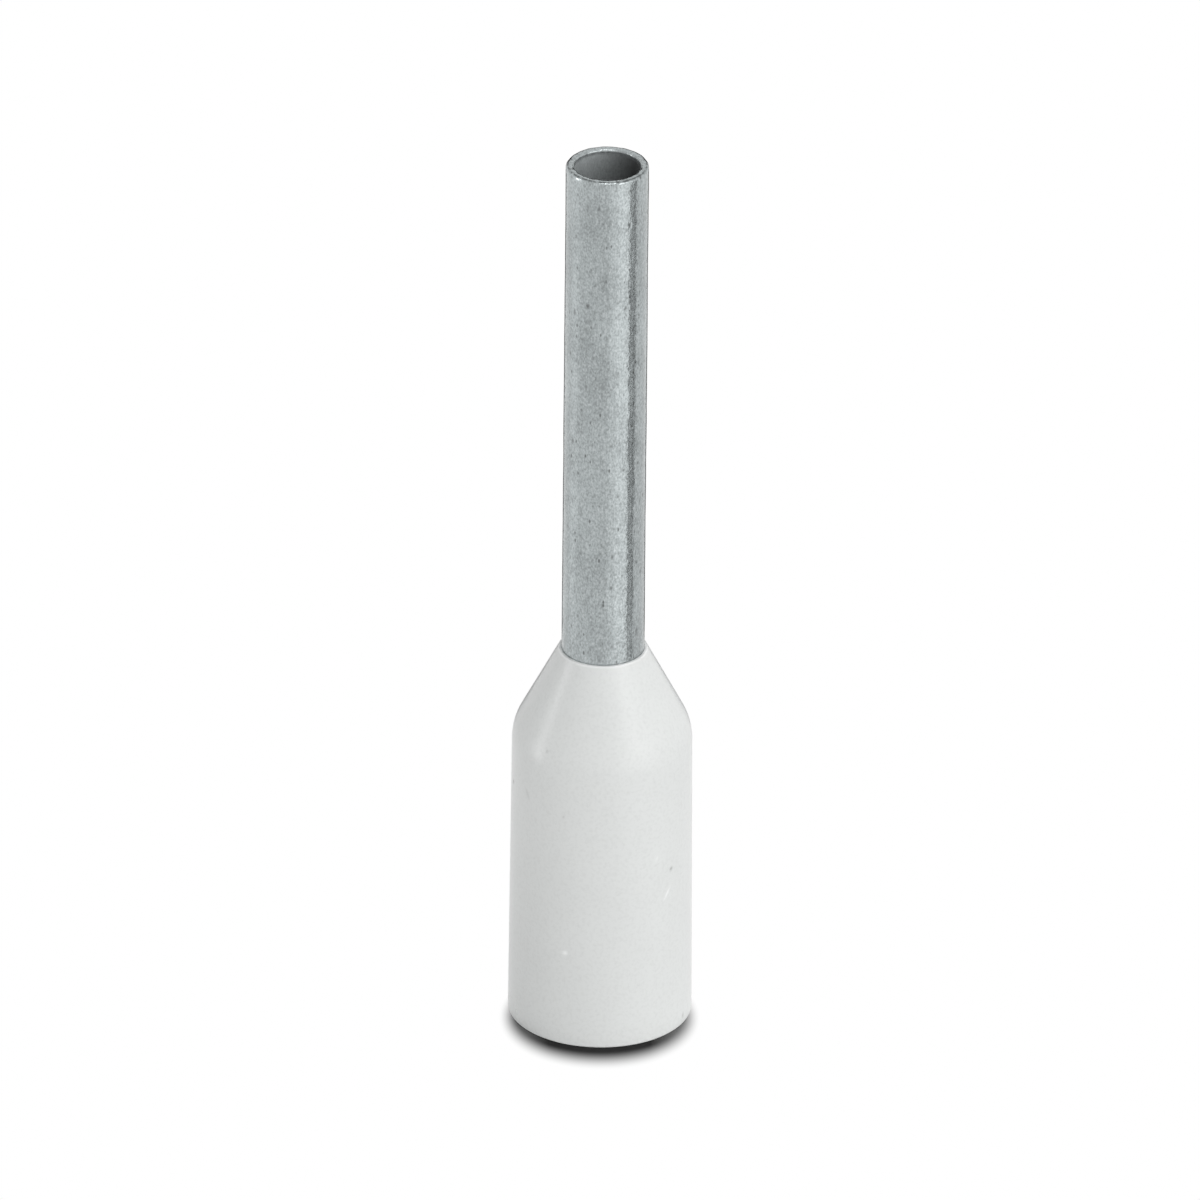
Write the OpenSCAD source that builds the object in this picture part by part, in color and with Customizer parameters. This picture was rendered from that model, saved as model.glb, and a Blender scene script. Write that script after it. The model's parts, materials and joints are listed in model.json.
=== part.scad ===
// Insulated wire ferrule, the end sleeve that is crimped onto one
// fine-stranded conductor before it goes into a terminal.
//
// Two pieces make it up. The sleeve is a thin copper tube, cut to length,
// tumbled and tinned, with one end flared into a trumpet. The collar is moulded
// in plastic: its neck grips the tube, its inner cone carries the flare, and
// its wide barrel takes the end of the cable's insulation.
//
// The ferrule stands on the collar's open mouth: z = 0 is that mouth, the
// axis of both pieces is Z, and the sleeve's free end is on top.

/* [Sleeve] */
// Length of bare sleeve that stands out of the collar
sleeve_free_len = 8.0; // [6:0.5:18]
// Inside diameter of the sleeve, which takes the bare strands
sleeve_bore_d = 0.96; // [0.8:0.02:1.3]
// Wall thickness of the sleeve
sleeve_wall = 0.135; // [0.12:0.005:0.2]
// Outer edge radius of the sleeve's cut and tumbled free end
tip_outer_r = 0.055; // [0.02:0.005:0.06]
// Inner edge radius of the sleeve's free end
tip_inner_r = 0.055; // [0.02:0.005:0.055]
// Bend radius on the outside of the tube where the flare begins
flare_bend_r = 0.3; // [0.1:0.05:0.5]
// Bare length of the collar's inner cone, left free beyond the flare's rim
flare_stop = 0.3; // [0.2:0.05:0.4]
// Radius on both edges of the flare's rim
flare_edge_r = 0.04; // [0.01:0.005:0.055]

/* [Collar] */
// Overall length of the collar
collar_len = 6.0; // [5:0.5:12]
// Inside diameter of the collar's barrel, which takes the insulation
collar_bore_d = 2.2; // [2:0.1:3]
// Wall thickness of the collar at its mouth and on its cone
collar_wall = 0.26; // [0.2:0.01:0.35]
// Draft of the barrel's outside, in degrees, widening towards the mouth
barrel_draft = 0.35; // [0:0.05:1]
// Half angle of the collar's cone, in degrees
cone_half_angle = 27.5; // [20:0.5:40]
// Radius that blends the barrel into the cone
shoulder_r = 0.9; // [0.2:0.05:1.5]
// Width of the flat ring on top of the neck, around the sleeve
neck_land = 0.04; // [0.02:0.01:0.08]
// Edge radius round the mouth, outside and inside
mouth_edge_r = 0.04; // [0.02:0.01:0.1]
// Blend radius inside, where the bore meets the inner cone
seat_blend_r = 0.2; // [0.05:0.05:0.4]

/* [Fit] */
// Gap between the sleeve and the collar: 0 is the moulded grip
grip_gap = 0; // [0:0.005:0.02]

/* [Hidden] */
$fn = 96;

TIN = [0.70, 0.72, 0.73];
WHITE = [0.86, 0.87, 0.86];

// Steps in each small edge round, and in each blend between two faces
EDGE_STEPS = 6;
BLEND_STEPS = 12;

sleeve_bore_r = sleeve_bore_d / 2;
sleeve_r = sleeve_bore_r + sleeve_wall;
overall_len = collar_len + sleeve_free_len;

collar_bore_r = collar_bore_d / 2;
mouth_r = collar_bore_r + collar_wall;
grip_r = sleeve_r + grip_gap;
neck_r = grip_r + neck_land;

// A wall of collar_wall, measured square to the cone, is this wide radially.
cone_wall_radial = collar_wall / cos(cone_half_angle);

// Height at which the inner cone, which is the flare's seat, has radius r.
function seat_z(r) =
    collar_len - (r + cone_wall_radial - neck_r) / tan(cone_half_angle);

// Where the drafted barrel line meets the cone line, before the blend.
shoulder_z =
    (neck_r - mouth_r + collar_len * tan(cone_half_angle))
    / (tan(cone_half_angle) - tan(barrel_draft));
shoulder_r0 = mouth_r - shoulder_z * tan(barrel_draft);

// The grip ends where its straight bore would meet the seat. The bend that
// joins them is shared: the collar's corner is the tube's outer bend.
grip_corner_z = seat_z(grip_r);
seat_bend_r = flare_bend_r - grip_gap;
bend_z = grip_corner_z + seat_bend_r * tan(cone_half_angle / 2);
bend_centre_r = sleeve_r + flare_bend_r;

// The flare's side runs down the seat, from the bend to flare_stop short of
// the point where the seat starts to blend into the bore.
flare_side_len =
    (collar_bore_r - grip_r) / sin(cone_half_angle)
    - (seat_bend_r + seat_blend_r) * tan(cone_half_angle / 2)
    - flare_stop;

// Points on a circle about c, from angle a0 to a1, both ends included.
function arc(c, r, a0, a1, steps) = [
    for (i = [0 : steps])
        let (a = a0 + (a1 - a0) * i / steps)
        c + r * [cos(a), sin(a)]
];

// Unit vector from point a to point b.
function towards(a, b) = (b - a) / norm(b - a);

// Points of the fillet of radius r at corner p, between the points before
// and after it: a circle tangent to both sides, worked out from the corner.
function fillet(before, p, after, r, steps) =
    let (
        u = towards(p, before),
        v = towards(p, after),
        half = acos(u * v) / 2,
        centre = p + towards([0, 0], u + v) * r / sin(half),
        start = p + u * r / tan(half) - centre,
        end = p + v * r / tan(half) - centre,
        a0 = atan2(start.y, start.x),
        turn = atan2(start.x * end.y - start.y * end.x, start * end)
    )
    arc(centre, r, a0, a0 + turn, steps);

// The copper tube: straight for most of its length, with its free end
// rounded over, and its hidden end flared at the cone's angle.
module crimp_sleeve() {
    bend_centre = [bend_centre_r, bend_z];
    bend_from = 180;
    bend_to = 180 + cone_half_angle;
    side = [sin(cone_half_angle), -cos(cone_half_angle)];
    outer_bend = arc(bend_centre, flare_bend_r, bend_from, bend_to, BLEND_STEPS);
    inner_bend = arc(bend_centre, flare_bend_r + sleeve_wall, bend_to, bend_from, BLEND_STEPS);
    outer_rim = outer_bend[BLEND_STEPS] + side * flare_side_len;
    inner_rim = inner_bend[0] + side * flare_side_len;
    color(TIN)
        rotate_extrude()
            polygon(concat(
                outer_bend,
                fillet(outer_bend[BLEND_STEPS], outer_rim, inner_rim, flare_edge_r, EDGE_STEPS),
                fillet(outer_rim, inner_rim, inner_bend[0], flare_edge_r, EDGE_STEPS),
                inner_bend,
                fillet(
                    [sleeve_bore_r, bend_z], [sleeve_bore_r, overall_len],
                    [sleeve_r, overall_len], tip_inner_r, EDGE_STEPS
                ),
                fillet(
                    [sleeve_bore_r, overall_len], [sleeve_r, overall_len],
                    [sleeve_r, bend_z], tip_outer_r, EDGE_STEPS
                )
            ));
}

// The moulded collar: barrel, blended shoulder, cone and neck outside, and
// a straight bore, an inner cone and the grip on the sleeve inside.
module insulating_collar() {
    bore_top = seat_z(collar_bore_r);
    color(WHITE)
        rotate_extrude()
            polygon(concat(
                fillet(
                    [collar_bore_r, bore_top], [collar_bore_r, 0],
                    [mouth_r, 0], mouth_edge_r, EDGE_STEPS
                ),
                fillet(
                    [collar_bore_r, 0], [mouth_r, 0],
                    [shoulder_r0, shoulder_z], mouth_edge_r, EDGE_STEPS
                ),
                fillet(
                    [mouth_r, 0], [shoulder_r0, shoulder_z],
                    [neck_r, collar_len], shoulder_r, BLEND_STEPS
                ),
                [[neck_r, collar_len], [grip_r, collar_len]],
                arc(
                    [bend_centre_r, bend_z], seat_bend_r,
                    180, 180 + cone_half_angle, BLEND_STEPS
                ),
                fillet(
                    [grip_r, grip_corner_z], [collar_bore_r, bore_top],
                    [collar_bore_r, 0], seat_blend_r, BLEND_STEPS
                )
            ));
}

crimp_sleeve();
insulating_collar();
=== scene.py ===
"""Insulated wire ferrule: a tinned crimp sleeve in a white moulded collar, standing on the collar's mouth.

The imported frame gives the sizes. Each piece is one closed surface of revolution: a half section, which is a
closed loop of (radius, height) points in millimetres, is carried round the Z axis. Fine relief is then
pressed into the surface, and the piece takes the place of the plain solid of the same name.
"""

import json
import logging
import math
from dataclasses import dataclass, field
from enum import Enum

import bpy
import numpy as np
from mathutils import Matrix, Vector


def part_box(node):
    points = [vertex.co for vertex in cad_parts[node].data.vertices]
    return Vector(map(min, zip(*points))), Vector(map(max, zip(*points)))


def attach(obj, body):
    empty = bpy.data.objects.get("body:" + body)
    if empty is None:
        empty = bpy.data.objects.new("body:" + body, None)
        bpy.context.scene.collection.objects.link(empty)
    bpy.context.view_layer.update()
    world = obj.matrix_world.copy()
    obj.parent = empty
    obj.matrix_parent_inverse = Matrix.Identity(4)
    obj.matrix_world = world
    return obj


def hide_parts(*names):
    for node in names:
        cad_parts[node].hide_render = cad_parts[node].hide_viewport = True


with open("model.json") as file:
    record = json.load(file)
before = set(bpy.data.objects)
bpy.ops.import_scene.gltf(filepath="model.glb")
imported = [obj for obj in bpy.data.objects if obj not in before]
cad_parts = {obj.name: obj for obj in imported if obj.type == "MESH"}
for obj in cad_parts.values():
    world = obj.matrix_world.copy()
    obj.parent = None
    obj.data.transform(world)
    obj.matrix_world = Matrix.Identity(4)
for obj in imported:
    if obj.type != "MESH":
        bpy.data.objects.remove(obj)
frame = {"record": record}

log = logging.getLogger("ferrule")

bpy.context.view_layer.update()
MM = 0.001
Colour = tuple[float, float, float]


class Mark(Enum):
    """The kinds of small mark that handling leaves on the collar."""

    DARK_SPECK = "dark_marks"
    PALE_NICK = "pale_marks"


class Lamp(Enum):
    """The studio's soft boxes, by the job that each does."""

    KEY = "key_panel"
    KEY_CORE = "key_panel_core"
    KEY_HIGH = "key_panel_high"
    KEY_SPARK = "key_spark"
    FILL = "soft_fill"
    SIDE = "side_panel"
    SIDE_STRIP = "side_strip"
    TOP = "top_panel"


class Card(Enum):
    """The studio's black cards, by the job that each does."""

    KEY_FRAME_NEAR = "key_frame_near"
    KEY_FRAME_FAR = "key_frame_far"
    BACK = "back_flag"
    LEFT_HOOD = "left_hood"


# ---------------------------------------------------------------- sizes from the frame


def mount(name: str) -> dict:
    """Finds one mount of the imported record.

    Args:
        name: the mount's name.

    Returns:
        The mount's entry, with its place in metres and its radius and length in millimetres.
    """
    return next(entry for entry in frame["record"]["mounts"] if entry["name"] == name)


def box_mm(node: str) -> tuple[Vector, Vector]:
    """Gives a solid's lowest and highest corner in millimetres.

    Args:
        node: the solid's name in the frame.

    Returns:
        Its lowest corner and its highest corner.
    """
    low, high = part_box(node)
    return low / MM, high / MM


# ---------------------------------------------------------------- half sections


def arc(centre: np.ndarray, radius: float, start: float, end: float, points: int) -> np.ndarray:
    """Samples a circular arc: centre + radius * (cos a, sin a), with a running evenly from start to end.

    Args:
        centre: the circle's centre, as (radius, height) in the half section.
        radius: the circle's own radius.
        start: first angle in degrees.
        end: last angle in degrees.
        points: how many points, both ends included.

    Returns:
        An array of points, one row each.
    """
    angle = np.radians(np.linspace(start, end, points))
    return np.asarray(centre) + radius * np.column_stack((np.cos(angle), np.sin(angle)))


def fillet(before: np.ndarray, corner: np.ndarray, after: np.ndarray, radius: float,
           points: int) -> np.ndarray:
    """Rounds a corner with the circle that touches both of its sides.

    The centre lies on the corner's bisector, at radius / sin(half the corner's angle), and the circle
    touches each side at radius / tan(half the angle) from the corner.

    Args:
        before: the point before the corner.
        corner: the sharp corner.
        after: the point after the corner.
        radius: radius of the rounding.
        points: how many points the rounding has.

    Returns:
        The rounding's points, in order from the side before to the side after.
    """
    back, onward = (np.asarray(end) - corner for end in (before, after))
    back, onward = back / np.linalg.norm(back), onward / np.linalg.norm(onward)
    half = math.acos(float(np.clip(back @ onward, -1, 1))) / 2
    bisector = (back + onward) / np.linalg.norm(back + onward)
    centre = corner + bisector * radius / math.sin(half)
    first = corner + back * radius / math.tan(half) - centre
    last = corner + onward * radius / math.tan(half) - centre
    start = math.atan2(first[1], first[0])
    turn = math.atan2(first[0] * last[1] - first[1] * last[0], first @ last)
    return arc(centre, radius, math.degrees(start), math.degrees(start + turn), points)


def straight(start: np.ndarray, end: np.ndarray, spacing: float) -> np.ndarray:
    """Points evenly along the straight between two points, with both ends left out.

    Args:
        start: the point before the first.
        end: the point after the last.
        spacing: the longest distance wanted between neighbours.

    Returns:
        The points between the two, which may be none.
    """
    start, end = np.asarray(start, float), np.asarray(end, float)
    steps = max(1, math.ceil(np.linalg.norm(end - start) / spacing))
    share = np.linspace(0, 1, steps + 1)[1:-1, None]
    return start + (end - start) * share


def joined(*parts: tuple[np.ndarray, float]) -> np.ndarray:
    """Joins stretches of a half section with straights, and closes the loop.

    Args:
        parts: each stretch, with the spacing of the straight that leads on from it.

    Returns:
        The whole loop, without a repeated last point.
    """
    stretches = []
    for index, (stretch, spacing) in enumerate(parts):
        following = parts[(index + 1) % len(parts)][0]
        stretches += [stretch, straight(stretch[-1], following[0], spacing)]
    return np.concatenate(stretches)


# ---------------------------------------------------------------- surfaces


def dents(rows: np.ndarray, columns: np.ndarray, place: np.ndarray, size: np.ndarray,
          depth: np.ndarray) -> np.ndarray:
    """Adds up many small bell-shaped dents on a grid.

    Each dent is depth * exp(-(dr / size)^2 / 2) * exp(-(dc / size)^2 / 2), with dr and dc the distances
    along the rows' and the columns' axes, so the whole sum is one product of two matrices.

    Args:
        rows: the rows' places in millimetres.
        columns: the columns' places in millimetres.
        place: each dent's place along the rows' and the columns' axes.
        size: each dent's half widths on those two axes.
        depth: each dent's depth.

    Returns:
        The summed depth at each row and column.
    """
    down = np.exp(-0.5 * ((rows[:, None] - place[None, :, 0]) / size[None, :, 0]) ** 2)
    across = np.exp(-0.5 * ((columns[:, None] - place[None, :, 1]) / size[None, :, 1]) ** 2)
    return (down * depth) @ across.T


@dataclass
class Turned:
    """A closed surface made by carrying a half section round the Z axis.

    Attributes:
        section: the loop of (radius, height) points in millimetres, upwards on its outside.
        columns: how many points go round the axis.
    """

    section: np.ndarray
    columns: int
    angle: np.ndarray = field(init=False)
    normal: np.ndarray = field(init=False)

    def __post_init__(self) -> None:
        """Works out the columns' angles and the section's outward normals."""
        self.angle = np.arange(self.columns) * 2 * math.pi / self.columns
        along = np.roll(self.section, -1, 0) - np.roll(self.section, 1, 0)
        along /= np.linalg.norm(along, axis=1, keepdims=True)
        self.normal = np.column_stack((along[:, 1], -along[:, 0]))

    def points(self, pressed: np.ndarray) -> np.ndarray:
        """Places every point: x = r cos a, y = r sin a, z = h, after pressing it in along its normal.

        Args:
            pressed: depth in millimetres for each section point and column.

        Returns:
            All the points in metres, one row each, section point by section point.
        """
        radius = self.section[:, :1] - pressed * self.normal[:, :1]
        height = self.section[:, 1:] - pressed * self.normal[:, 1:]
        grid = np.stack((radius * np.cos(self.angle), radius * np.sin(self.angle), height), axis=-1)
        return grid.reshape(-1, 3) * MM

    def faces(self) -> np.ndarray:
        """Joins each point to its neighbours, with both directions closed.

        Returns:
            Four point numbers for each face, in the order that makes it face outwards.
        """
        rows = len(self.section)
        index = np.arange(rows * self.columns).reshape(rows, self.columns)
        right, up = np.roll(index, -1, 1), np.roll(index, -1, 0)
        return np.stack((index, right, np.roll(up, -1, 1), up), axis=-1).reshape(-1, 4)

    def build(self, name: str, pressed: np.ndarray, fields: dict[str, np.ndarray]) -> bpy.types.Object:
        """Makes the mesh object.

        Args:
            name: the piece's name.
            pressed: depth in millimetres for each section point and column.
            fields: numbers that the finish reads, one for each section point and column.

        Returns:
            The smooth-shaded object, at the origin.
        """
        points, faces = self.points(pressed), self.faces()
        mesh = bpy.data.meshes.new(name)
        mesh.vertices.add(len(points))
        mesh.vertices.foreach_set("co", points.astype(np.float32).ravel())
        mesh.loops.add(faces.size)
        mesh.loops.foreach_set("vertex_index", faces.astype(np.int32).ravel())
        mesh.polygons.add(len(faces))
        mesh.polygons.foreach_set("loop_start", np.arange(0, faces.size, 4, dtype=np.int32))
        mesh.polygons.foreach_set("use_smooth", np.ones(len(faces), dtype=bool))
        mesh.update(calc_edges=True)
        for label, values in fields.items():
            layer = mesh.attributes.new(label, "FLOAT", "POINT")
            spread_out = np.broadcast_to(values, pressed.shape).astype(np.float32)
            layer.data.foreach_set("value", spread_out.ravel())
        mesh.validate()
        piece = bpy.data.objects.new(name, mesh)
        bpy.context.scene.collection.objects.link(piece)
        return piece


# ---------------------------------------------------------------- finishes


class Mixture:
    """Adds and joins the nodes of one material."""

    def __init__(self, name: str) -> None:
        """Starts an empty material.

        Args:
            name: the material's name.
        """
        self.material = bpy.data.materials.new(name)
        self.material.use_nodes = True
        self.tree = self.material.node_tree
        self.tree.nodes.clear()

    def add(self, kind: str, settings: dict | None = None, **sockets: object) -> bpy.types.Node:
        """Adds a node, and sets or joins its inputs.

        Args:
            kind: the node's type name.
            settings: the node's own settings, by name.
            sockets: values or output sockets, by the input's name with spaces as underscores, or by its
                number after one underscore.

        Returns:
            The new node.
        """
        node = self.tree.nodes.new(kind)
        for key, value in (settings or {}).items():
            setattr(node, key, value)
        for key, value in sockets.items():
            socket = node.inputs[int(key[1:])] if key[0] == "_" else node.inputs[key.replace("_", " ")]
            self.feed(socket, value)
        return node

    def feed(self, socket: bpy.types.NodeSocket, value: object) -> None:
        """Joins an output to a socket, or sets the socket's value.

        Args:
            socket: the input to feed.
            value: an output socket or a plain value.
        """
        if isinstance(value, bpy.types.NodeSocket):
            self.tree.links.new(value, socket)
        else:
            socket.default_value = value

    def place(self, stretch: Colour = (1.0, 1.0, 1.0)) -> bpy.types.NodeSocket:
        """Gives the point's place on the object in metres, stretched on each axis.

        Args:
            stretch: the factor on each axis.

        Returns:
            The stretched place.
        """
        where = self.add("ShaderNodeTexCoord").outputs["Object"]
        return self.add("ShaderNodeMapping", Vector=where, Scale=stretch).outputs["Vector"]

    def noise(self, grain_mm: float, detail: float,
              stretch: Colour = (1.0, 1.0, 1.0)) -> bpy.types.NodeSocket:
        """Cloudy noise whose lumps are about grain_mm across.

        Args:
            grain_mm: size of one lump in millimetres.
            detail: how many finer layers are added.
            stretch: under 1 on an axis draws the lumps out along it.

        Returns:
            The noise, about 0.5 on average.
        """
        node = self.add("ShaderNodeTexNoise", Vector=self.place(stretch), Scale=1 / (grain_mm * MM),
                        Detail=detail)
        return node.outputs["Fac"]

    def field(self, label: str) -> bpy.types.NodeSocket:
        """Reads one of the numbers that the mesh carries.

        Args:
            label: the number's name.

        Returns:
            The number at the shaded point.
        """
        return self.add("ShaderNodeAttribute", {"attribute_name": label}).outputs["Fac"]

    def spread(self, value: object, old: tuple[float, float],
               new: tuple[float, float]) -> bpy.types.NodeSocket:
        """Maps a range to another range, held at its ends.

        Args:
            value: the number to map.
            old: the range it comes in.
            new: the range it goes to.

        Returns:
            The mapped number.
        """
        node = self.add("ShaderNodeMapRange", {"clamp": True}, Value=value, From_Min=old[0], From_Max=old[1],
                        To_Min=new[0], To_Max=new[1])
        return node.outputs["Result"]

    def sum(self, operation: str, first: object, second: object, third: object = 0.0) -> bpy.types.NodeSocket:
        """Joins numbers by the named operation, which uses as many of them as it needs.

        Args:
            operation: the math node's operation.
            first: its first number.
            second: its second number.
            third: its third number, where the operation has one.

        Returns:
            The result.
        """
        node = self.add("ShaderNodeMath", {"operation": operation}, _0=first, _1=second, _2=third)
        return node.outputs["Value"]

    def specks(self, cell_mm: float, share: float, stretch: Colour = (1.0, 1.0, 1.0)) -> bpy.types.NodeSocket:
        """Scatters small round specks of random size, at most one in each cell.

        Args:
            cell_mm: size of a cell in millimetres.
            share: radius of the largest speck, as a share of the cell.
            stretch: under 1 on an axis draws the specks out along it.

        Returns:
            A number that is 1 in the middle of a large speck and 0 between specks.
        """
        node = self.add("ShaderNodeTexVoronoi", Vector=self.place(stretch), Scale=1 / (cell_mm * MM))
        chance = self.add("ShaderNodeSeparateColor", Color=node.outputs["Color"]).outputs["Red"]
        reach = self.sum("MULTIPLY", self.sum("POWER", chance, 2.5), share)
        depth = self.sum("DIVIDE", self.sum("SUBTRACT", reach, node.outputs["Distance"]), share * 0.6)
        return self.spread(depth, (0.0, 1.0), (0.0, 1.0))

    def tint(self, share: object, base: object, over: object) -> bpy.types.NodeSocket:
        """Mixes two colours.

        Args:
            share: how much of the second colour shows, from 0 to 1.
            base: the colour at share 0.
            over: the colour at share 1.

        Returns:
            The mixed colour.
        """
        node = self.add("ShaderNodeMix", {"data_type": "RGBA", "clamp_factor": True})
        self.feed(node.inputs["Factor"], share)
        for socket, colour in zip((node.inputs[6], node.inputs[7]), (base, over)):
            self.feed(socket, colour if isinstance(colour, bpy.types.NodeSocket) else (*colour, 1.0))
        return node.outputs[2]

    def bump(self, height: object, strength: float, depth_mm: float,
             under: object = None) -> bpy.types.NodeSocket:
        """Turns a height into a tilted normal.

        Args:
            height: the height, from 0 to 1.
            strength: share of the tilt that is used.
            depth_mm: how deep a height of 1 is, in millimetres.
            under: a coarser normal that this one is added to.

        Returns:
            The tilted normal.
        """
        node = self.add("ShaderNodeBump", Strength=strength, Distance=depth_mm * MM, Height=height)
        if under is not None:
            self.feed(node.inputs["Normal"], under)
        return node.outputs["Normal"]

    def finish(self, surface: bpy.types.NodeSocket) -> bpy.types.Material:
        """Joins the surface to the material's output.

        Args:
            surface: the shader that covers the surface.

        Returns:
            The finished material.
        """
        self.add("ShaderNodeOutputMaterial", Surface=surface)
        return self.material


@dataclass(frozen=True)
class TinPlating:
    """Satin tin on copper, tumbled in bulk: grey, finely grained and sprinkled with dark pits.

    Attributes:
        clean: colour of the clean plating.
        pit: colour at the bottom of a pit.
        speck: colour of a bright grain.
        burr: colour of the rim's dark edges, partly torn burr and partly painted shade and painted dark
            reflection.
        oxide: colour of the painted shade down one side of the bore, the side that faces away from the key
            light.
        roughness: roughness of the clean plating.
        bore_roughness: roughness inside the bore, where nothing polishes it.
        bore_metallic: how metallic the dull bore looks, from 0 to 1.
        bore_haze: share of the bright grain's colour that hazes the bore.
        cloud_mm: size of the faint clouds in the plating's tone.
        lump_mm: size of the lumps that tumbling leaves.
        grain_mm: size of the plating's grain.
        pit_cell_mm: distance between neighbouring small pits.
        tear_mm: size of the torn stretches that break up the rim's dark edges of burr and painted shade.
        lump_depth_mm: how deep the lumps are.
        grain_depth_mm: how deep the grain is.
    """

    clean: Colour = (0.386, 0.420, 0.424)
    pit: Colour = (0.12, 0.125, 0.125)
    speck: Colour = (0.62, 0.65, 0.66)
    burr: Colour = (0.05, 0.055, 0.055)
    oxide: Colour = (0.07, 0.072, 0.072)
    roughness: float = 0.15
    bore_roughness: float = 0.55
    bore_metallic: float = 0.25
    bore_haze: float = 0.35
    cloud_mm: float = 0.45
    lump_mm: float = 0.075
    grain_mm: float = 0.025
    pit_cell_mm: float = 0.070
    tear_mm: float = 0.06
    lump_depth_mm: float = 0.0026
    grain_depth_mm: float = 0.0020

    def material(self) -> bpy.types.Material:
        """Mixes the finish from cloudy tone, fine grain, pits and a rougher bore.

        Returns:
            The finished material.
        """
        mix = Mixture("tin_plating")
        drawn_out = (1.0, 1.0, 0.6)
        cloud = mix.noise(self.cloud_mm, 3.0, (1.0, 1.0, 0.5))
        lumps = mix.noise(self.lump_mm, 1.0, drawn_out)
        grain = mix.noise(self.grain_mm, 2.0, drawn_out)
        small_pits = mix.specks(self.pit_cell_mm, 0.30, (1.0, 1.0, 0.45))
        pits = mix.sum("MAXIMUM", small_pits, mix.field("pits"))
        torn = mix.spread(mix.noise(self.tear_mm, 2.0), (0.38, 0.55), (0.25, 1.0))
        edge = mix.sum("MULTIPLY", mix.field("edge"), torn)
        inside = mix.field("inside")
        dull, bright = ([share * channel for channel in self.clean] for share in (0.90, 1.08))
        tone = mix.tint(mix.spread(cloud, (0.35, 0.65), (0.0, 1.0)), dull, bright)
        tone = mix.tint(mix.spread(grain, (0.48, 0.75), (0.0, 0.50)), tone, self.pit)
        tone = mix.tint(mix.spread(grain, (0.46, 0.25), (0.0, 0.50)), tone, self.speck)
        tone = mix.tint(mix.spread(lumps, (0.55, 0.80), (0.0, 0.30)), tone, self.pit)
        tone = mix.tint(mix.spread(pits, (0.10, 0.80), (0.0, 0.85)), tone, self.pit)
        # Darkens the rim's edges: partly burr, partly painted shade and painted dark reflection.
        tone = mix.tint(edge, tone, self.burr)
        tone = mix.tint(mix.sum("MULTIPLY", inside, self.bore_haze), tone, self.speck)
        # Painted shade: darkens one side of the bore.
        tone = mix.tint(mix.sum("MULTIPLY", inside, mix.field("oxide")), tone, self.oxide)
        rough = mix.spread(grain, (0.3, 0.7), (self.roughness - 0.03, self.roughness + 0.05))
        rough = mix.sum("MULTIPLY_ADD", inside, self.bore_roughness - self.roughness, rough)
        metal = mix.spread(inside, (0.0, 1.0), (1.0, self.bore_metallic))
        normal = mix.bump(lumps, 1.0, self.lump_depth_mm)
        normal = mix.bump(grain, 1.0, self.grain_depth_mm, normal)
        shader = mix.add("ShaderNodeBsdfPrincipled", Base_Color=tone, Metallic=metal, Roughness=rough,
                         Normal=normal)
        return mix.finish(shader.outputs["BSDF"])


@dataclass(frozen=True)
class WhitePlastic:
    """White polypropylene as it leaves the mould: satin, a little translucent, lightly marked by handling.

    Attributes:
        white: colour of the plastic.
        dirt: colour of a dark speck.
        nick: colour of a pale scrape.
        roughness: roughness of the moulded skin.
        glow: share of the light that enters the skin before it leaves.
        glow_depth: how far that light travels, in millimetres.
        cloud_mm: size of the clouds that the plastic's flow leaves.
        cloud_tone: how bright the darkest cloud is, as a share of the white.
        grain_mm: size of the moulded skin's grain.
        grain_depth_mm: how deep that grain is.
    """

    white: Colour = (0.735, 0.750, 0.742)
    dirt: Colour = (0.16, 0.16, 0.15)
    nick: Colour = (0.93, 0.94, 0.94)
    roughness: float = 0.30
    glow: float = 0.2
    glow_depth: float = 0.15
    cloud_mm: float = 0.9
    cloud_tone: float = 0.965
    grain_mm: float = 0.05
    grain_depth_mm: float = 0.002

    def material(self) -> bpy.types.Material:
        """Mixes the finish from the plastic, its faint flow clouds, its grain and its marks.

        Returns:
            The finished material.
        """
        mix = Mixture("white_plastic")
        cloud = mix.noise(self.cloud_mm, 3.0)
        grain = mix.noise(self.grain_mm, 2.0)
        shade = tuple(self.cloud_tone * channel for channel in self.white)
        tone = mix.tint(mix.spread(cloud, (0.15, 0.85), (0.0, 1.0)), shade, self.white)
        tone = mix.tint(mix.spread(grain, (0.45, 0.85), (0.0, 0.10)), tone, self.dirt)
        tone = mix.tint(mix.field(Mark.DARK_SPECK.value), tone, self.dirt)
        tone = mix.tint(mix.field(Mark.PALE_NICK.value), tone, self.nick)
        rough = mix.spread(cloud, (0.15, 0.85), (self.roughness - 0.05, self.roughness + 0.05))
        normal = mix.bump(grain, 0.25, self.grain_depth_mm)
        shader = mix.add("ShaderNodeBsdfPrincipled", Base_Color=tone, Roughness=rough, Normal=normal,
                         IOR=1.49, Subsurface_Weight=self.glow, Subsurface_Scale=self.glow_depth * MM,
                         Subsurface_Radius=(1.0, 1.0, 1.0))
        return mix.finish(shader.outputs["BSDF"])


# ---------------------------------------------------------------- the two pieces


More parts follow.
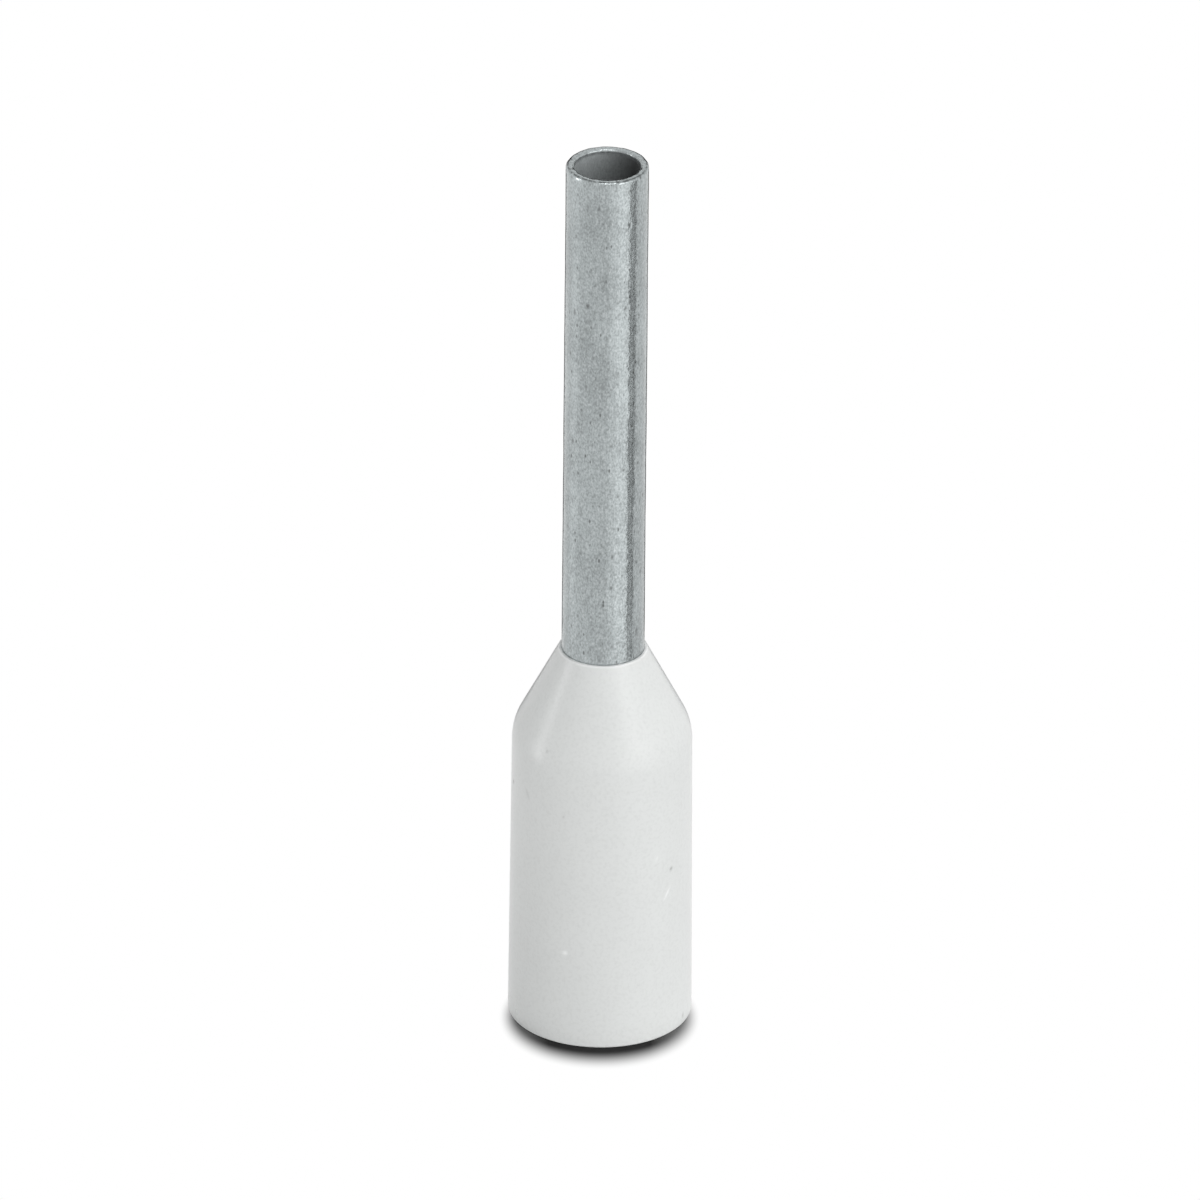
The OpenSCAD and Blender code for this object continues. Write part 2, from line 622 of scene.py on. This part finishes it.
@dataclass
class CrimpSleeve:
    """The tinned copper tube, flared at its hidden end. All lengths are in millimetres.

    Attributes:
        bore_r: radius of the bore.
        tube_r: outside radius of the tube.
        top: height of the free end.
        bend_z: height at which the tube starts to flare.
        collar_top: height at which the tube leaves the collar.
        flare_angle: half angle of the flare's cone, in degrees.
        bend_r: bend radius on the outside of the tube where it flares.
        flare_len: length of the flare's straight side.
        flare_edge_r: radius on both edges of the flare's rim.
        tip_outer_r: outer radius of the tumbled free end.
        tip_inner_r: inner radius of the free end.
        columns: points round the tube.
        fine: spacing of the points where the tube shows.
        coarse: spacing of the points out of sight.
        pit_count: how many single pits the tube has.
        pit_depth: how deep the deepest kind of pit is.
        wave_count: how many shallow waves overlap on the tube.
        wave_depth: how deep the waves are.
        burr_depth: how uneven the tip is.
    """

    bore_r: float
    tube_r: float
    top: float
    bend_z: float
    collar_top: float
    flare_angle: float = 27.5
    bend_r: float = 0.3
    flare_len: float = 0.628
    flare_edge_r: float = 0.04
    tip_outer_r: float = 0.055
    tip_inner_r: float = 0.055
    columns: int = 200
    fine: float = 0.0215
    coarse: float = 0.12
    pit_count: int = 220
    pit_depth: float = 0.006
    wave_count: int = 900
    wave_depth: float = 0.0013
    burr_depth: float = 0.0016

    def section(self) -> np.ndarray:
        """Draws the tube's half section: flare and tube upwards outside, round the tip, and down the bore.

        Returns:
            The closed loop of (radius, height) points.
        """
        wall = self.tube_r - self.bore_r
        slope = math.radians(self.flare_angle)
        side = np.array((math.sin(slope), -math.cos(slope))) * self.flare_len
        centre = (self.tube_r + self.bend_r, self.bend_z)
        outer_bend = arc(centre, self.bend_r, 180 + self.flare_angle, 180, 9)
        inner_bend = arc(centre, self.bend_r + wall, 180, 180 + self.flare_angle, 9)
        outer_rim, inner_rim = outer_bend[0] + side, inner_bend[-1] + side
        tip_out, tip_in = np.array((self.tube_r, self.top)), np.array((self.bore_r, self.top))
        leaving = np.array([(self.tube_r, self.collar_top - 0.05)])
        shown_bore = np.array([(self.bore_r, self.top - 2.5)])
        return joined(
            (fillet(inner_rim, outer_rim, outer_bend[0], self.flare_edge_r, 5), self.coarse),
            (outer_bend, self.coarse),
            (leaving, self.fine),
            (fillet(leaving[0], tip_out, tip_in, self.tip_outer_r, 9), self.fine),
            (fillet(tip_out, tip_in, shown_bore[0], self.tip_inner_r, 7), 0.05),
            (shown_bore, self.coarse),
            (inner_bend, self.coarse),
            (fillet(inner_bend[-1], inner_rim, outer_rim, self.flare_edge_r, 5), self.coarse),
        )

    def scattered(self, rng: np.random.Generator, count: int, sizes: tuple[float, float],
                  drawn_out: float) -> tuple[np.ndarray, np.ndarray]:
        """Scatters dents over the tube, each repeated past the seam so that the pattern closes.

        Args:
            rng: where the random numbers come from.
            count: how many dents there are.
            sizes: the smallest and the largest half width.
            drawn_out: how many times longer than wide the longest dents are, along the tube.

        Returns:
            Each dent's place up and round the tube, and its half widths on those two axes.
        """
        girth = 2 * math.pi * self.tube_r
        up, aside = rng.uniform(self.collar_top, self.top, count), rng.uniform(0, girth, count)
        place = np.column_stack((up, aside))
        width = rng.uniform(*sizes, count)
        size = np.column_stack((width * rng.uniform(1.0, drawn_out, count), width))
        return np.concatenate([place + (0, shift) for shift in (-girth, 0, girth)]), np.tile(size, (3, 1))

    def relief(self, turned: Turned) -> tuple[np.ndarray, np.ndarray]:
        """Works out the pits, the shallow waves and the uneven tip that cutting and tumbling leave.

        Args:
            turned: the tube's surface.

        Returns:
            How strongly each point is pitted, and how deep it is pressed in altogether.
        """
        rng = np.random.default_rng(46)
        height, radius = turned.section[:, 1], turned.section[:, 0]
        outside = ((radius > self.tube_r - 1e-6) & (height > self.collar_top - 0.05))[:, None]
        round_the_tube = turned.angle * self.tube_r
        place, size = self.scattered(rng, self.pit_count, (0.009, 0.018), 2.4)
        weight = np.tile(rng.uniform(0.25, 1.0, self.pit_count) ** 1.5, 3)
        pits = dents(height, round_the_tube, place, size, weight) * outside
        place, size = self.scattered(rng, self.wave_count, (0.05, 0.16), 2.0)
        swell = np.tile(rng.uniform(-1.0, 1.0, self.wave_count), 3)
        waves = dents(height, round_the_tube, place, size, swell) * outside
        settled = np.clip((height - self.collar_top) / 0.25, 0, 1)[:, None]
        waves = self.wave_depth * (waves - waves.min()) * settled
        tip = np.clip(1 - (self.top - height) / 0.12, 0, 1)[:, None]
        uneven = sum(rng.uniform(0.3, 1.0) * np.cos(n * turned.angle + rng.uniform(0, 2 * math.pi))
                     for n in (2, 3, 5, 8, 13, 21))
        burr = self.burr_depth * tip * (uneven - uneven.min())
        return pits, self.pit_depth * np.clip(pits, 0, 1.5) * settled + waves + burr

    def marks(self, turned: Turned, pits: np.ndarray) -> dict[str, np.ndarray]:
        """Tells the finish where the pits and the bore are, where painted shade darkens one side of the bore,
        and where the rim's edges are darkened by burr and painted shade.

        Args:
            turned: the tube's surface.
            pits: how strongly each point is pitted.

        Returns:
            The numbers that the finish reads, by name.
        """
        height, radius = turned.section[:, 1:], turned.section[:, :1]
        past_the_tip = np.clip((self.top - height) / 0.1, 0, 1)
        inside = (radius < self.tube_r - self.tip_outer_r) * past_the_tip
        # Painted shade for the bore: strongest on its right side, which faces away from the key light.
        oxide = np.clip(0.5 + 0.7 * np.cos(turned.angle + math.radians(10)), 0, 1)
        # Dark edges of the tip, partly burr and partly painted: a painted dark reflection on the outer
        # rounding, and painted shade where the bore begins.
        steep = np.degrees(np.arcsin(np.clip(turned.normal[:, 1:], -1, 1)))
        at_tip = height > self.top - 0.08
        crest = self.bore_r + self.tip_inner_r
        outer_edge = at_tip * (radius > crest) * np.exp(-(((steep - 62) / 18) ** 2))
        inner_edge = at_tip * (radius < crest) * np.exp(-((steep / 14) ** 2))
        return {"pits": np.clip(pits, 0, 1), "inside": np.clip(inside, 0, 1), "oxide": oxide[None, :],
                "edge": 0.9 * (outer_edge + 0.8 * inner_edge)}

    def build(self) -> bpy.types.Object:
        """Makes the sleeve, with its relief and the numbers that its finish reads.

        Returns:
            The sleeve's mesh object.
        """
        turned = Turned(self.section(), self.columns)
        pits, pressed = self.relief(turned)
        return turned.build("tinned_sleeve", pressed, self.marks(turned, pits))


@dataclass(frozen=True)
class Blemish:
    """One small mark on the collar.

    Attributes:
        kind: what the mark looks like.
        angle: its place round the collar, in degrees from +X.
        height: its height in millimetres.
        length: its half length up the collar.
        width: its half width round it.
        strength: how clearly it shows, from 0 to 1.
        slant: how far it leans to the right for each millimetre up.
    """

    kind: Mark
    angle: float
    height: float
    length: float
    width: float
    strength: float
    slant: float = 0.0


@dataclass
class InsulatingCollar:
    """The moulded white collar. All lengths are in millimetres.

    Attributes:
        bore_r: radius of the bore that takes the wire's insulation.
        grip_r: radius of the bore that grips the sleeve.
        top: height of the neck.
        bend_z: height at which the grip starts to open.
        wall: thickness of the wall at the mouth and on the cone.
        draft: angle of the barrel's side, in degrees.
        cone_angle: half angle of the cone, in degrees.
        shoulder_r: radius that blends the barrel into the cone.
        neck_land: width of the flat ring round the sleeve.
        mouth_edge_r: radius of both edges of the mouth.
        seat_bend_r: radius where the grip opens into the inner cone.
        seat_blend_r: radius where the inner cone meets the bore.
        speck_depth: how deep a full dark speck is pressed in.
        nick_depth: how deep a full pale nick is pressed in.
        neck_band_height: height of the paler band round the neck.
        columns: points round the collar.
        fine: spacing of the points where the collar shows.
        coarse: spacing of the points inside.
        blemishes: the marks that handling has left.
    """

    bore_r: float
    grip_r: float
    top: float
    bend_z: float
    wall: float = 0.26
    draft: float = 0.35
    cone_angle: float = 27.5
    shoulder_r: float = 0.9
    neck_land: float = 0.04
    mouth_edge_r: float = 0.04
    seat_bend_r: float = 0.3
    seat_blend_r: float = 0.2
    speck_depth: float = 0.004
    nick_depth: float = 0.008
    neck_band_height: float = 0.03
    columns: int = 320
    fine: float = 0.028
    coarse: float = 0.15
    blemishes: tuple[Blemish, ...] = (
        Blemish(Mark.DARK_SPECK, -167.0, 3.89, 0.022, 0.020, 0.75),
        Blemish(Mark.DARK_SPECK, -145.0, 3.93, 0.050, 0.022, 0.20, -0.6),
        Blemish(Mark.DARK_SPECK, -129.0, 4.76, 0.012, 0.012, 0.45),
        Blemish(Mark.DARK_SPECK, -115.0, 3.78, 0.012, 0.012, 0.30),
        Blemish(Mark.DARK_SPECK, -39.5, 2.75, 0.018, 0.018, 0.70),
        Blemish(Mark.DARK_SPECK, -25.0, 0.15, 0.030, 0.018, 0.35),
        Blemish(Mark.PALE_NICK, -43.0, 2.37, 0.055, 0.014, 0.75, 0.7),
        Blemish(Mark.PALE_NICK, -52.0, 3.02, 0.030, 0.012, 0.40, 0.3),
        Blemish(Mark.PALE_NICK, -112.5, 1.53, 0.020, 0.028, 0.95),
    )

    @property
    def mouth_r(self) -> float:
        """Outside radius at the mouth.

        Returns:
            The radius in millimetres.
        """
        return self.bore_r + self.wall

    def section(self) -> np.ndarray:
        """Draws the collar's half section: up the barrel and cone, over the neck, and down the inside.

        Returns:
            The closed loop of (radius, height) points.
        """
        draft, slope = math.tan(math.radians(self.draft)), math.tan(math.radians(self.cone_angle))
        neck_r = self.grip_r + self.neck_land
        shoulder_z = (neck_r - self.mouth_r + self.top * slope) / (slope - draft)
        shoulder = np.array((self.mouth_r - shoulder_z * draft, shoulder_z))
        cone_wall = self.wall / math.cos(math.radians(self.cone_angle))
        seat_z = self.top - (self.bore_r + cone_wall - neck_r) / slope
        mouth_out, mouth_in = np.array((self.mouth_r, 0.0)), np.array((self.bore_r, 0.0))
        seat = np.array((self.bore_r, seat_z))
        neck, grip = np.array((neck_r, self.top)), np.array((self.grip_r, self.top))
        centre = (self.grip_r + self.seat_bend_r, self.bend_z)
        opening = arc(centre, self.seat_bend_r, 180, 180 + self.cone_angle, 9)
        return joined(
            (fillet(mouth_in, mouth_out, shoulder, self.mouth_edge_r, 9), self.fine),
            (fillet(mouth_out, shoulder, neck, self.shoulder_r, 17), self.fine),
            (fillet(shoulder, neck, grip, 0.020, 5), self.fine),
            (fillet(neck, grip, opening[0], 0.003, 3), self.coarse),
            (opening, self.coarse),
            (fillet(opening[-1], seat, mouth_in, self.seat_blend_r, 9), self.coarse),
            (fillet(seat, mouth_in, mouth_out, self.mouth_edge_r, 7), self.fine),
        )

    def build(self) -> bpy.types.Object:
        """Makes the collar: the moulded form, its handling marks, and a paler band round the neck.

        Returns:
            The collar's mesh object.
        """
        turned = Turned(self.section(), self.columns)
        radius, height = turned.section[:, :1], turned.section[:, 1:]
        shown = radius > self.bore_r + 0.08
        fields = {kind.value: np.zeros((len(height), self.columns)) for kind in Mark}
        for mark in self.blemishes:
            round_it = (np.degrees(turned.angle) - mark.angle + 180) % 360 - 180
            up, aside = height - mark.height, np.radians(round_it) * radius
            shape = (up / mark.length) ** 2 + ((aside - mark.slant * up) / mark.width) ** 2
            fields[mark.kind.value] += shown * mark.strength * np.exp(-shape / 2)
        pressed = (self.speck_depth * fields[Mark.DARK_SPECK.value]
                   + self.nick_depth * fields[Mark.PALE_NICK.value])
        # A paler band round the neck land, added to the pale marks.
        uneven = 0.75 + 0.25 * np.cos(7 * turned.angle + 1.3)
        fields[Mark.PALE_NICK.value] += np.clip((height - self.top) / self.neck_band_height + 1, 0, 1) * uneven
        return turned.build("moulded_collar", pressed, fields)


# ---------------------------------------------------------------- the studio


@dataclass(frozen=True)
class SoftBox:
    """One soft box, facing the ferrule.

    Attributes:
        azimuth: direction in degrees to the right of the camera.
        elevation: height in degrees above the horizon.
        width: width in metres.
        height: height in metres.
        radiance: brightness of its face, where 1 is white.
        distance: distance from the ferrule in metres.
        mirrored: whether reflections show its face.
    """

    azimuth: float
    elevation: float
    width: float
    height: float
    radiance: float
    distance: float = 0.7
    mirrored: bool = True


@dataclass(frozen=True)
class BlackCard:
    """One thin black card, facing the ferrule, that the camera doesn't see.

    Attributes:
        azimuth: direction in degrees to the right of the camera.
        elevation: height in degrees above the horizon.
        width: width in metres.
        height: height in metres.
        shading: whether it keeps soft light off, in place of showing in reflections.
        distance: distance from the ferrule in metres.
    """

    azimuth: float
    elevation: float
    width: float
    height: float
    shading: bool = False
    distance: float = 0.65


def direction(azimuth: float, elevation: float) -> Vector:
    """Unit vector towards a direction, with azimuth 0 towards the camera's side and + to its right.

    Args:
        azimuth: degrees to the right of the camera.
        elevation: degrees above the horizon.

    Returns:
        The direction in the ferrule's frame.
    """
    a, e = math.radians(azimuth), math.radians(elevation)
    return Vector((math.sin(a) * math.cos(e), -math.cos(a) * math.cos(e), math.sin(e)))


@dataclass
class Studio:
    """The pale stand, the white surroundings, the soft boxes and the camera.

    Attributes:
        foot_r: radius of the ferrule's foot in metres.
        aim: the point that the camera looks at, in metres.
        elevation: the camera's height above the horizon, in degrees.
        roll: how far the camera is turned about its view, in degrees.
        distance: the camera's distance in metres.
        field_width: width of what the camera sees at the ferrule, in metres.
        stand_r: radius of the pale stand in metres.
        ambient: brightness of the surroundings for soft light, where 1 is white.
        shade_shift: how far the painted contact shadow lies towards the camera, in metres.
        shade_blur: half the width of the contact shadow's soft edge at the sides, in metres.
        shade_depth: how many times wider that edge is towards the camera.
        shade_tone: brightness of the contact shadow in front of the foot.
        shade_side_tone: its brightness at both sides, where it fades.
        shade_fade: where it starts and stops fading, as shares of the foot's radius.
        stand_tone: how pale the stand is.
        lamps: the soft boxes.
        cards: the black cards.
    """

    foot_r: float
    aim: Vector
    elevation: float = 27.6
    roll: float = 0.53
    distance: float = 0.8
    field_width: float = 0.0177
    stand_r: float = 0.012
    ambient: float = 0.685
    shade_shift: float = 0.00039
    shade_blur: float = 0.00014
    shade_depth: float = 2.15
    shade_tone: float = 0.035
    shade_side_tone: float = 0.26
    shade_fade: tuple[float, float] = (0.55, 1.02)
    stand_tone: float = 0.9
    lamps: dict[Lamp, SoftBox] = field(default_factory=lambda: {
        Lamp.KEY: SoftBox(39.0, 0.0, 0.80, 1.40, 0.20),
        Lamp.KEY_CORE: SoftBox(50.0, 0.0, 0.50, 1.40, 0.22),
        Lamp.KEY_HIGH: SoftBox(46.0, 25.0, 0.28, 0.26, 1.2),
        Lamp.KEY_SPARK: SoftBox(39.0, 6.0, 0.10, 0.10, 4.0),
        Lamp.FILL: SoftBox(54.0, 16.0, 0.60, 0.60, 0.72, mirrored=False),
        Lamp.SIDE: SoftBox(-97.0, 0.0, 0.36, 1.20, 0.13),
        Lamp.SIDE_STRIP: SoftBox(-86.0, 3.0, 0.12, 0.52, 4.4),
        Lamp.TOP: SoftBox(5.0, 55.0, 0.30, 0.14, 5.5),
    })
    cards: dict[Card, BlackCard] = field(default_factory=lambda: {
        Card.KEY_FRAME_NEAR: BlackCard(72.5, -27.0, 0.053, 0.40),
        Card.KEY_FRAME_FAR: BlackCard(85.5, -27.0, 0.058, 0.40),
        Card.BACK: BlackCard(180.0, -6.0, 0.50, 0.62),
        Card.LEFT_HOOD: BlackCard(-98.0, 50.0, 1.10, 0.70, shading=True),
    })

    def light(self) -> None:
        """Hangs the soft boxes. A face of radiance L and area A gives pi * L * A watts."""
        for lamp, box in self.lamps.items():
            data = bpy.data.lights.new(lamp.value, "AREA")
            data.shape = "RECTANGLE"
            data.size, data.size_y = box.width, box.height
            data.energy = math.pi * box.radiance * box.width * box.height
            panel = bpy.data.objects.new(lamp.value, data)
            towards = direction(box.azimuth, box.elevation)
            facing = towards.to_track_quat("Z", "Y").to_matrix().to_4x4()
            panel.matrix_world = Matrix.Translation(towards * box.distance) @ facing
            panel.visible_camera = False
            panel.visible_glossy = box.mirrored
            bpy.context.scene.collection.objects.link(panel)

    def shade(self) -> None:
        """Hangs the black cards, which give the metal its darks and keep soft light off the left."""
        for job, card in self.cards.items():
            middle = direction(card.azimuth, card.elevation) * card.distance
            side = direction(card.azimuth + 90, 0.0) * card.width / 2
            up = direction(card.azimuth + 180, 90 - card.elevation) * card.height / 2
            corners = [middle - side - up, middle + side - up, middle + side + up, middle - side + up]
            mesh = bpy.data.meshes.new(job.value)
            mesh.from_pydata([tuple(corner) for corner in corners], [], [(0, 1, 2, 3)])
            sheet = bpy.data.objects.new(job.value, mesh)
            bpy.context.scene.collection.objects.link(sheet)
            mix = Mixture(job.value)
            black = mix.add("ShaderNodeBsdfDiffuse", Color=(0.02, 0.02, 0.02, 1.0))
            mesh.materials.append(mix.finish(black.outputs["BSDF"]))
            sheet.visible_camera = sheet.visible_transmission = False
            sheet.visible_diffuse = sheet.visible_shadow = card.shading
            sheet.visible_glossy = not card.shading

    def surround(self) -> None:
        """Makes the white surroundings: white where they are seen, and a little dimmer as soft light."""
        world = bpy.data.worlds.new("white_surround")
        world.use_nodes = True
        tree = world.node_tree
        tree.nodes.clear()
        path = tree.nodes.new("ShaderNodeLightPath")
        seen = path.outputs["Is Camera Ray"]
        for ray in ("Is Glossy Ray", "Is Transmission Ray"):
            either = tree.nodes.new("ShaderNodeMath")
            either.operation = "MAXIMUM"
            tree.links.new(seen, either.inputs[0])
            tree.links.new(path.outputs[ray], either.inputs[1])
            seen = either.outputs[0]
        mixed = tree.nodes.new("ShaderNodeMixShader")
        tree.links.new(seen, mixed.inputs[0])
        for socket, strength in ((1, self.ambient), (2, 1.0)):
            background = tree.nodes.new("ShaderNodeBackground")
            background.inputs["Color"].default_value = (1.0, 1.0, 1.0, 1.0)
            background.inputs["Strength"].default_value = strength
            tree.links.new(background.outputs[0], mixed.inputs[socket])
        output = tree.nodes.new("ShaderNodeOutputWorld")
        tree.links.new(mixed.outputs[0], output.inputs["Surface"])
        bpy.context.scene.world = world

    def stand(self) -> None:
        """Lays the pale stand, which melts into the white away from the ferrule and carries a painted contact
        shadow round its foot.
        """
        angle = np.arange(96) * 2 * math.pi / 96
        rim = np.column_stack((np.cos(angle), np.sin(angle), np.zeros(96))) * self.stand_r
        mesh = bpy.data.meshes.new("pale_stand")
        mesh.from_pydata(rim.tolist(), [], [tuple(range(96))])
        stand = bpy.data.objects.new("pale_stand", mesh)
        bpy.context.scene.collection.objects.link(stand)
        mix = Mixture("pale_stand")
        place = mix.add("ShaderNodeTexCoord").outputs["Object"]
        centre = (0.0, -self.shade_shift, 0.0)
        offset = mix.add("ShaderNodeVectorMath", {"operation": "SUBTRACT"}, _0=place,
                         _1=centre).outputs["Vector"]
        drawn = mix.add("ShaderNodeVectorMath", {"operation": "MULTIPLY"}, _0=offset,
                        _1=(1.0, self.shade_depth, 1.0)).outputs["Vector"]
        away, stretched = (mix.add("ShaderNodeVectorMath", {"operation": "LENGTH"}, _0=which).outputs["Value"]
                           for which in (offset, drawn))
        outward = mix.sum("SUBTRACT", away, self.foot_r)
        beyond = mix.sum("MULTIPLY", outward, mix.sum("DIVIDE", away, stretched))
        across = mix.add("ShaderNodeSeparateXYZ", Vector=place).outputs["X"]
        aside = mix.sum("ABSOLUTE", across, 0.0)
        start, stop = (share * self.foot_r for share in self.shade_fade)
        faded = mix.spread(aside, (start, stop), (0.0, 1.0))
        lit = mix.add("ShaderNodeMapRange", {"interpolation_type": "SMOOTHSTEP"}, Value=beyond,
                      From_Min=-self.shade_blur, From_Max=self.shade_blur).outputs["Result"]
        path = mix.add("ShaderNodeLightPath")
        seen = path.outputs["Is Camera Ray"]
        for ray in ("Is Glossy Ray", "Is Transmission Ray"):
            seen = mix.sum("MAXIMUM", seen, path.outputs[ray])
        # Painted shadow: a dark grey patch round the front of the foot, seen in place of the cast shadow.
        grey = mix.tint(faded, (self.shade_tone,) * 3, (self.shade_side_tone,) * 3)
        shade = mix.add("ShaderNodeBsdfDiffuse", Color=grey)
        white = mix.add("ShaderNodeEmission", Color=(1.0, 1.0, 1.0, 1.0), Strength=1.0)
        shown = mix.add("ShaderNodeMixShader", _0=lit, _1=shade.outputs["BSDF"], _2=white.outputs["Emission"])
        pale = mix.add("ShaderNodeBsdfDiffuse", Color=(*(self.stand_tone,) * 3, 1.0))
        both = mix.add("ShaderNodeMixShader", _0=seen, _1=pale.outputs["BSDF"], _2=shown.outputs["Shader"])
        mesh.materials.append(mix.finish(both.outputs["Shader"]))

    def photograph(self) -> None:
        """Sets up the camera: a very long lens, so that the view is all but parallel."""
        data = bpy.data.cameras.new("camera")
        data.sensor_width = 36.0
        data.lens = data.sensor_width * self.distance / self.field_width
        data.clip_start, data.clip_end = 0.01, 10.0
        camera = bpy.data.objects.new("camera", data)
        back = direction(0.0, self.elevation)
        roll = Matrix.Rotation(math.radians(self.roll), 4, "Z")
        turned = back.to_track_quat("Z", "Y").to_matrix().to_4x4() @ roll
        camera.matrix_world = Matrix.Translation(self.aim + back * self.distance) @ turned
        bpy.context.scene.collection.objects.link(camera)
        bpy.context.scene.camera = camera

    def build(self) -> None:
        """Sets up everything round the ferrule."""
        self.surround()
        self.stand()
        self.light()
        self.shade()
        self.photograph()
        bpy.context.scene.view_settings.view_transform = "Standard"


# ---------------------------------------------------------------- making it


def dress(piece: bpy.types.Object, material: bpy.types.Material, node: str) -> None:
    """Gives a piece its finish and puts it in a solid's place.

    Args:
        piece: the finished mesh object.
        material: its finish.
        node: the solid that it replaces.
    """
    piece.data.materials.append(material)
    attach(piece, "root")
    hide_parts(node)
    log.info("%s: %d faces, in place of %s", piece.name, len(piece.data.polygons), node)


def main() -> None:
    """Builds the sleeve, the collar and the studio."""
    logging.basicConfig(level=logging.INFO, format="%(name)s: %(message)s")
    conductor, pin, insulation = mount("conductor_bore"), mount("crimp_end"), mount("insulation_bore")
    _, sleeve_top = box_mm("crimp_sleeve")
    _, collar_top = box_mm("insulating_collar")
    bend_z = conductor["pos_m"][2] / MM - conductor["dims"]["length_mm"] / 2
    sleeve = CrimpSleeve(bore_r=conductor["dims"]["r_mm"], tube_r=pin["dims"]["r_mm"], top=sleeve_top.z,
                         bend_z=bend_z, collar_top=collar_top.z)
    dress(sleeve.build(), TinPlating().material(), "crimp_sleeve")
    collar = InsulatingCollar(bore_r=insulation["dims"]["r_mm"], grip_r=pin["dims"]["r_mm"],
                              top=collar_top.z, bend_z=bend_z)
    dress(collar.build(), WhitePlastic().material(), "insulating_collar")
    Studio(foot_r=collar.mouth_r * MM, aim=Vector((-0.00005, 0.0, 0.00677))).build()


if __name__ == "__main__":
    main()
